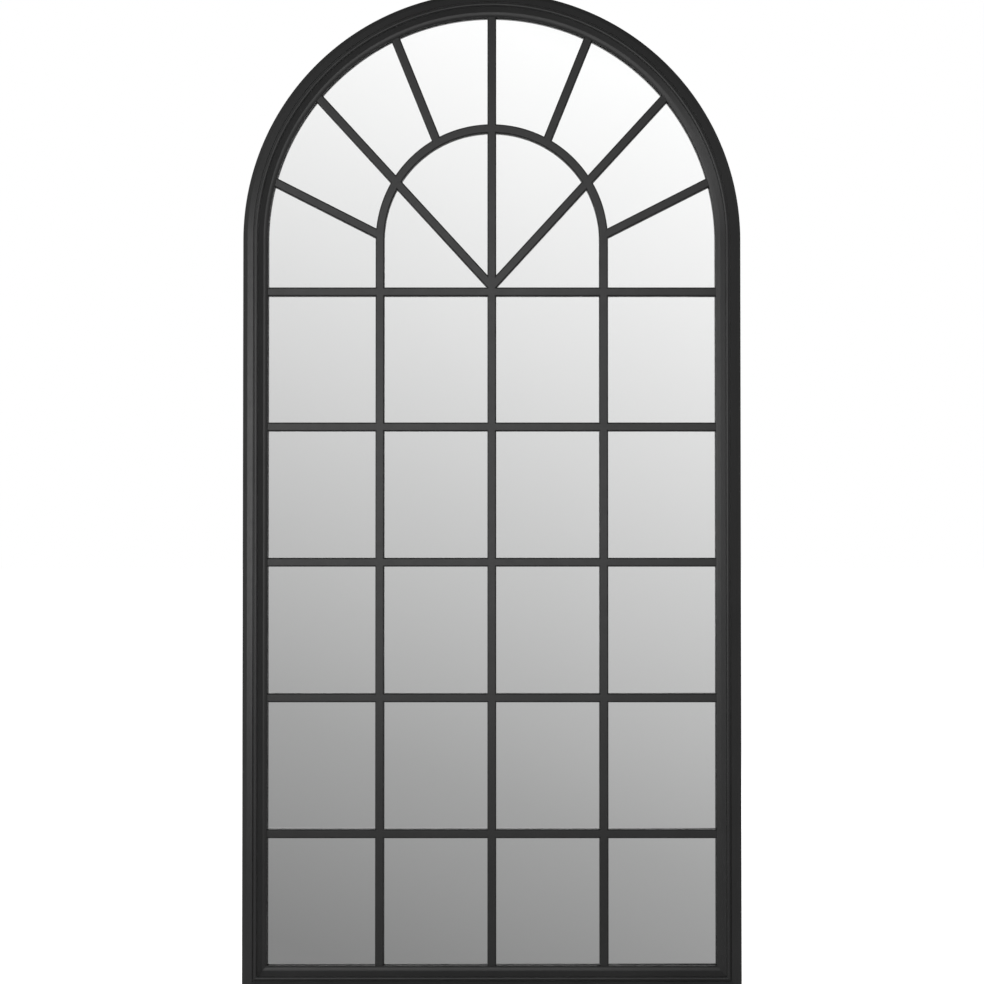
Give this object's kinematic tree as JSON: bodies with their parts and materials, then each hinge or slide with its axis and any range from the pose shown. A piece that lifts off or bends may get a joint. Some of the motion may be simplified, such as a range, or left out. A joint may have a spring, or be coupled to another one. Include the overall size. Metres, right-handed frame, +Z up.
{
  "type": "wall mirror",
  "caption": "Tall round-arched wall mirror in a black moulded frame, with a window-like grille of slim bars over one glass sheet and swinging hanger rings behind.",
  "frame": {"origin": "middle of the flat underside of the bottom rail", "axes": "+Z up along the mirror's height, +X to the right of someone looking into it, +Y out of its back towards the wall"},
  "size_m": [0.9, 0.038, 1.805],
  "materials": {
    "satin_black_paint": "satin paint",
    "mirror_glass": "polished",
    "hardboard": "matt, fine fibre",
    "rubber": "matt",
    "zinc_steel": "zinc plated",
    "beech": "bare"
  },
  "bodies": {
    "frame": {"bottom_rail": "satin_black_paint", "centre_bar": "satin_black_paint", "inner_arch": "satin_black_paint", "cross_bar_1": "satin_black_paint", "cross_bar_2": "satin_black_paint", "cross_bar_3": "satin_black_paint", "cross_bar_4": "satin_black_paint", "cross_bar_5": "satin_black_paint", "left_stile": "satin_black_paint", "left_arch": "satin_black_paint", "left_bar": "satin_black_paint", "left_diagonal": "satin_black_paint", "left_upper_radial": "satin_black_paint", "left_lower_radial": "satin_black_paint", "right_stile": "satin_black_paint", "right_arch": "satin_black_paint", "right_bar": "satin_black_paint", "right_diagonal": "satin_black_paint", "right_upper_radial": "satin_black_paint", "right_lower_radial": "satin_black_paint", "mirror_plate": "mirror_glass", "backing_board": "hardboard", "setting_blocks": "rubber", "wall_bumpers": "rubber", "spring_dowels": "beech", "crown_dowels": "beech", "mitre_dowels": "beech", "backing_screws": "zinc_steel", "hanger_screws": "zinc_steel", "left_hanger_strap": "zinc_steel", "right_hanger_strap": "zinc_steel"},
    "left_ring": {"left_hanger_ring": "zinc_steel"},
    "right_ring": {"right_hanger_ring": "zinc_steel"}
  },
  "joints": [
    {"name": "left_ring_swing", "type": "hinge", "parent": "frame", "child": "left_ring", "pos_m": [-0.436, 0.01115, 1.24], "axis": [1, 0, 0], "range_deg": [0, 180]},
    {"name": "right_ring_swing", "type": "hinge", "parent": "frame", "child": "right_ring", "pos_m": [0.436, 0.01115, 1.24], "axis": [1, 0, 0], "range_deg": [0, 180]}
  ]
}
